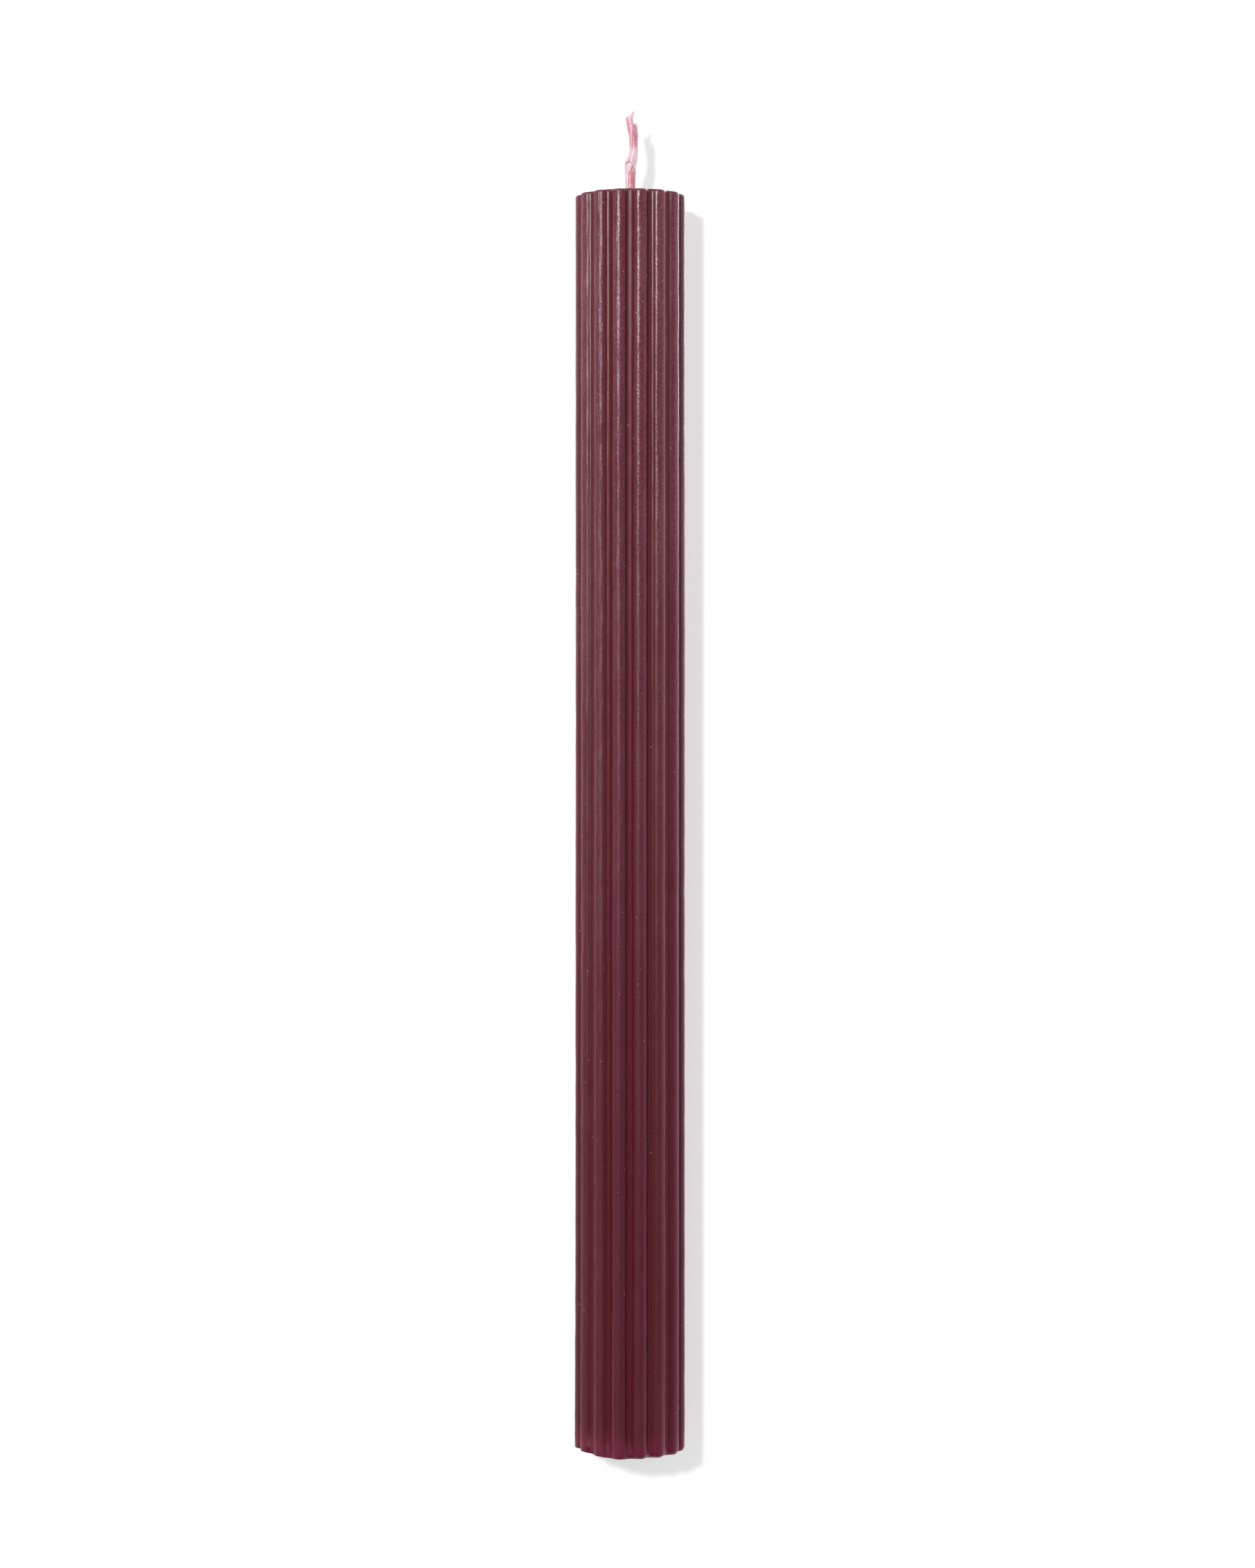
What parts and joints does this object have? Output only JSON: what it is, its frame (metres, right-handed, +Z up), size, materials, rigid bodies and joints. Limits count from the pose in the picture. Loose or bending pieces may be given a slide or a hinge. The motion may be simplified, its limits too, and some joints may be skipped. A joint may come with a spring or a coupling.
{
  "type": "ribbed taper candle",
  "caption": "Tall slim candle of dark wine red wax with rounded ribs along its length, a rounded foot and a short plaited cotton wick.",
  "frame": {"origin": "centre of the flat base, on the candle's axis", "axes": "+Z up along the axis to the wick, the front faces -Y"},
  "size_m": [0.0225, 0.0224, 0.2712],
  "materials": {
    "wax": "dyed wax, semi-matt, with a fine granular bloom on the rib crests",
    "wick_yarn": "cotton yarn soaked in pink-stained wax"
  },
  "bodies": {
    "root": {"wax_body": "wax", "wick_strand_1": "wick_yarn", "wick_strand_2": "wick_yarn", "wick_strand_3": "wick_yarn"}
  },
  "joints": []
}
